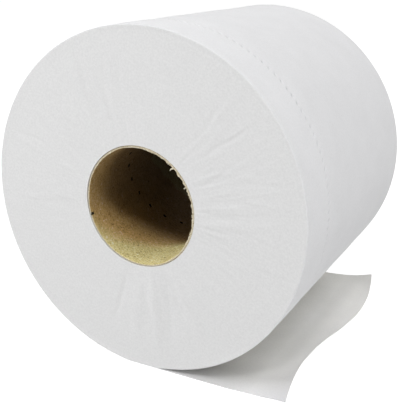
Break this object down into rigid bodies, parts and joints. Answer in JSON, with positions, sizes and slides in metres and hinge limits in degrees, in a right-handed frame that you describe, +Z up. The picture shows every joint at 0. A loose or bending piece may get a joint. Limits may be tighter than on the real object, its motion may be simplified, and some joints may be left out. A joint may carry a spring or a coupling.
{
  "type": "centrefeed paper roll",
  "caption": "White paper towel roll lying on its side, wound on a perforated cardboard core, with a loose end on the floor.",
  "frame": {"origin": "middle of the roll's width on the floor, straight under the roll's axis", "axes": "+Y along the roll's axis from the front end to the back end, +X towards the loose end, +Z up"},
  "size_m": [0.1898, 0.17, 0.1896],
  "materials": {
    "tissue": "soft matte white tissue",
    "greyboard": "rough unbleached greyboard"
  },
  "bodies": {
    "root": {"paper_web": "tissue", "core_tube": "greyboard"}
  },
  "joints": []
}
